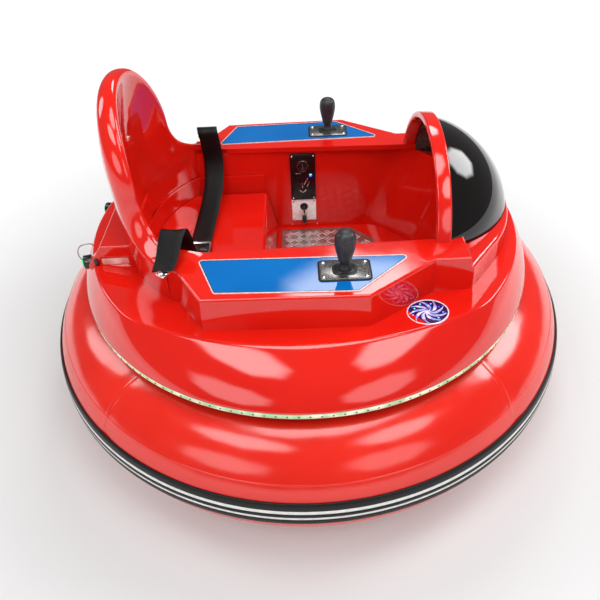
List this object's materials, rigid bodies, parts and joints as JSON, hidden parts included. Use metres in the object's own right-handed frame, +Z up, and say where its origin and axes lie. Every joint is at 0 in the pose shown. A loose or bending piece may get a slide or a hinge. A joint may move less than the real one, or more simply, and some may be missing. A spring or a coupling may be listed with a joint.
{
  "type": "bumper car",
  "caption": "Round one-seat fairground bumper car: glossy red moulded body with a black dome and twin control sticks, on an inflatable ring with driven wheels and casters.",
  "frame": {"origin": "on the floor under the centre of the inflatable ring", "axes": "+X forward, +Y to the driver's left, +Z up"},
  "size_m": [1.207, 1.2069, 0.728],
  "materials": {
    "ring_vinyl": "glossy welded vinyl",
    "belt_rubber": "black extruded rubber",
    "line_white": "white line",
    "strap_webbing": "black webbing",
    "light_strip": "lit white strip",
    "body_red": "red gelcoat, high gloss",
    "dome_black": "black gloss",
    "tread_aluminium": "five-bar tread pattern",
    "panel_blue": "blue gloss panel",
    "stick_steel": "steel plate with black edge",
    "stick_black": "black moulded grip",
    "coin_black": "black moulded plate",
    "key_white": "white plate",
    "key_chrome": "plated",
    "belt_webbing": "woven black webbing",
    "buckle_black": "black moulded buckle",
    "fan_rim": "violet bezel",
    "fan_vane": "lit vanes",
    "tail_housing": "black housing",
    "tail_green": "lit green lens",
    "frame_black": "black powder coat",
    "tray_black": "black powder coat",
    "battery_grey": "dark grey case",
    "motor_steel": "dark enamel",
    "zinc": "zinc plated",
    "hub_cast": "cast hub",
    "tyre": "black tyre rubber"
  },
  "bodies": {
    "car": {"armrest_panel_left": "panel_blue", "armrest_panel_right": "panel_blue", "battery": "battery_grey", "belt_anchors": "key_chrome", "belt_buckle": "buckle_black", "belt_lines": "line_white", "bumper_belt": "belt_rubber", "bumper_ring": "ring_vinyl", "caster_mounts": "zinc", "chassis_frame": "frame_black", "cockpit_tub": "body_red", "coin_acceptor": "coin_black", "control_stick_left": "stick_black", "control_stick_right": "stick_black", "dome": "dome_black", "dome_liner": "body_red", "drive_motor_left": "motor_steel", "drive_motor_right": "motor_steel", "fan_lamp_left": "fan_rim", "fan_lamp_right": "fan_rim", "fan_vanes_left": "fan_vane", "fan_vanes_right": "fan_vane", "key_panel": "key_white", "keys": "key_chrome", "led_strip": "light_strip", "lower_body": "body_red", "motor_brackets": "frame_black", "ring_straps": "strap_webbing", "seat_back": "body_red", "seat_base": "body_red", "seat_belt_left": "belt_webbing", "seat_belt_right": "belt_webbing", "stick_plate_left": "stick_steel", "stick_plate_right": "stick_steel", "tail_lamps": "tail_housing", "tail_lenses": "tail_green", "tray": "tray_black", "tread_plate": "tread_aluminium", "upper_hull": "body_red", "windscreen_arch": "body_red"},
    "drive_wheel_left": {"drive_hub_left": "hub_cast", "drive_tyre_left": "tyre"},
    "drive_wheel_right": {"drive_hub_right": "hub_cast", "drive_tyre_right": "tyre"},
    "caster_swivel_front": {"caster_fork_front": "zinc"},
    "caster_swivel_rear": {"caster_fork_rear": "zinc"},
    "caster_roller_front": {"caster_wheel_front": "tyre"},
    "caster_roller_rear": {"caster_wheel_rear": "tyre"}
  },
  "joints": [
    {"name": "drive_spin_left", "type": "hinge", "parent": "car", "child": "drive_wheel_left", "pos_m": [0, 0.24, 0.1], "axis": [0, 1, 0], "continuous": true},
    {"name": "drive_spin_right", "type": "hinge", "parent": "car", "child": "drive_wheel_right", "pos_m": [0, -0.24, 0.1], "axis": [0, 1, 0], "continuous": true},
    {"name": "swivel_front", "type": "hinge", "parent": "car", "child": "caster_swivel_front", "pos_m": [0.195, 0, 0.17], "axis": [0, 0, 1], "continuous": true},
    {"name": "swivel_rear", "type": "hinge", "parent": "car", "child": "caster_swivel_rear", "pos_m": [-0.195, 0, 0.17], "axis": [0, 0, 1], "continuous": true},
    {"name": "roll_front", "type": "hinge", "parent": "caster_swivel_front", "child": "caster_roller_front", "pos_m": [0.15, 0, 0.075], "axis": [0, 1, 0], "continuous": true},
    {"name": "roll_rear", "type": "hinge", "parent": "caster_swivel_rear", "child": "caster_roller_rear", "pos_m": [-0.24, 0, 0.075], "axis": [0, 1, 0], "continuous": true}
  ]
}
